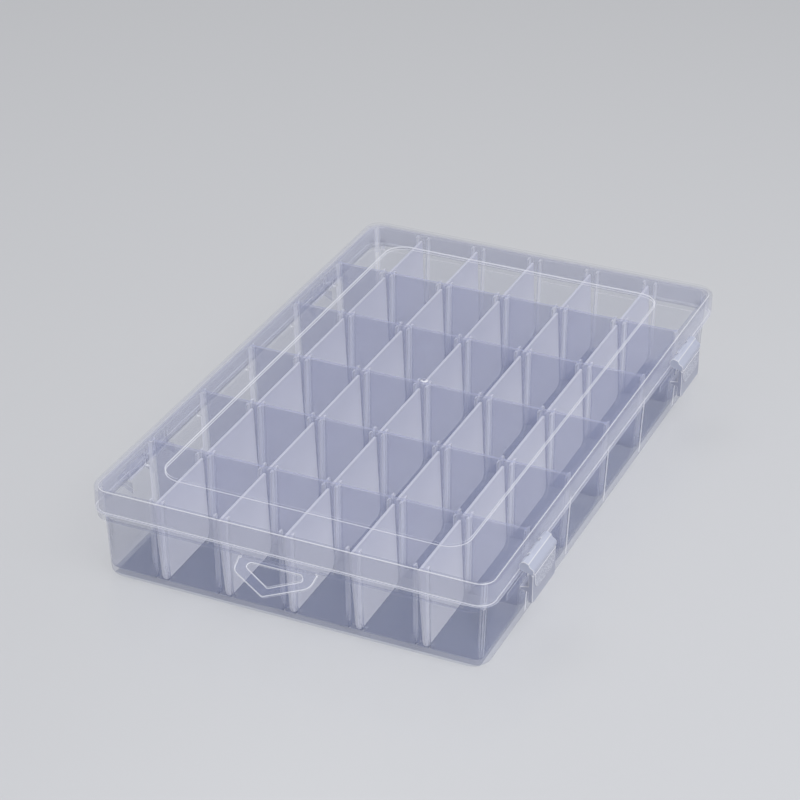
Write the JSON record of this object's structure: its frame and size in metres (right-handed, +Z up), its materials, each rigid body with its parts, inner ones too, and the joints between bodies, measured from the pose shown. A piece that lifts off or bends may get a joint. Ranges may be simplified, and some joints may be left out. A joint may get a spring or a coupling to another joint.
{
  "type": "compartment storage organizer",
  "caption": "Flat hinged storage box of clear plastic with a gridded tray, removable divider plates, snap latches on the long side and a fold-out hang tab at one end.",
  "frame": {"origin": "middle of the flat underside of the tray", "axes": "+X along the long sides, away from the hang tab; +Y from the latches towards the hinge; +Z up through the lid"},
  "size_m": [0.2883, 0.1868, 0.043],
  "materials": {
    "clear_polypropylene": "clear, slightly milky moulded plastic with a soft gloss",
    "milky_polypropylene": "cloudy moulded plastic with a satin face",
    "latch_polypropylene": "milky moulded plastic with a soft gloss"
  },
  "bodies": {
    "tray_body": {"tray": "clear_polypropylene", "divider_bay1_slot1": "milky_polypropylene", "divider_bay1_slot2": "milky_polypropylene", "divider_bay1_slot3": "milky_polypropylene", "divider_bay1_slot4": "milky_polypropylene", "divider_bay1_slot5": "milky_polypropylene", "divider_bay2_slot1": "milky_polypropylene", "divider_bay2_slot2": "milky_polypropylene", "divider_bay2_slot3": "milky_polypropylene", "divider_bay2_slot4": "milky_polypropylene", "divider_bay2_slot5": "milky_polypropylene", "divider_bay3_slot1": "milky_polypropylene", "divider_bay3_slot2": "milky_polypropylene", "divider_bay3_slot3": "milky_polypropylene", "divider_bay3_slot4": "milky_polypropylene", "divider_bay3_slot5": "milky_polypropylene", "divider_bay4_slot1": "milky_polypropylene", "divider_bay4_slot2": "milky_polypropylene", "divider_bay4_slot3": "milky_polypropylene", "divider_bay4_slot4": "milky_polypropylene", "divider_bay4_slot5": "milky_polypropylene", "divider_bay5_slot1": "milky_polypropylene", "divider_bay5_slot2": "milky_polypropylene", "divider_bay5_slot3": "milky_polypropylene", "divider_bay5_slot4": "milky_polypropylene", "divider_bay5_slot5": "milky_polypropylene", "divider_bay6_slot1": "milky_polypropylene", "divider_bay6_slot2": "milky_polypropylene", "divider_bay6_slot3": "milky_polypropylene", "divider_bay6_slot4": "milky_polypropylene", "divider_bay6_slot5": "milky_polypropylene"},
    "lid_body": {"lid": "clear_polypropylene"},
    "latch_left_body": {"latch_left": "latch_polypropylene"},
    "latch_right_body": {"latch_right": "latch_polypropylene"},
    "hang_tab_body": {"hang_tab": "clear_polypropylene"}
  },
  "joints": [
    {"name": "lid_hinge", "type": "hinge", "parent": "tray_body", "child": "lid_body", "pos_m": [0, 0.0899, 0.0275], "axis": [-1, 0, 0], "range_deg": [0, 180]},
    {"name": "latch_left_pivot", "type": "hinge", "parent": "lid_body", "child": "latch_left_body", "pos_m": [-0.09846, -0.0901, 0.0368], "axis": [-1, 0, 0], "range_deg": [0, 80]},
    {"name": "latch_right_pivot", "type": "hinge", "parent": "lid_body", "child": "latch_right_body", "pos_m": [0.08166, -0.0901, 0.0368], "axis": [-1, 0, 0], "range_deg": [0, 80]},
    {"name": "hang_tab_pivot", "type": "hinge", "parent": "tray_body", "child": "hang_tab_body", "pos_m": [-0.1362, 0.003, 0.0273], "axis": [0, 1, 0], "range_deg": [-62, 23]}
  ]
}
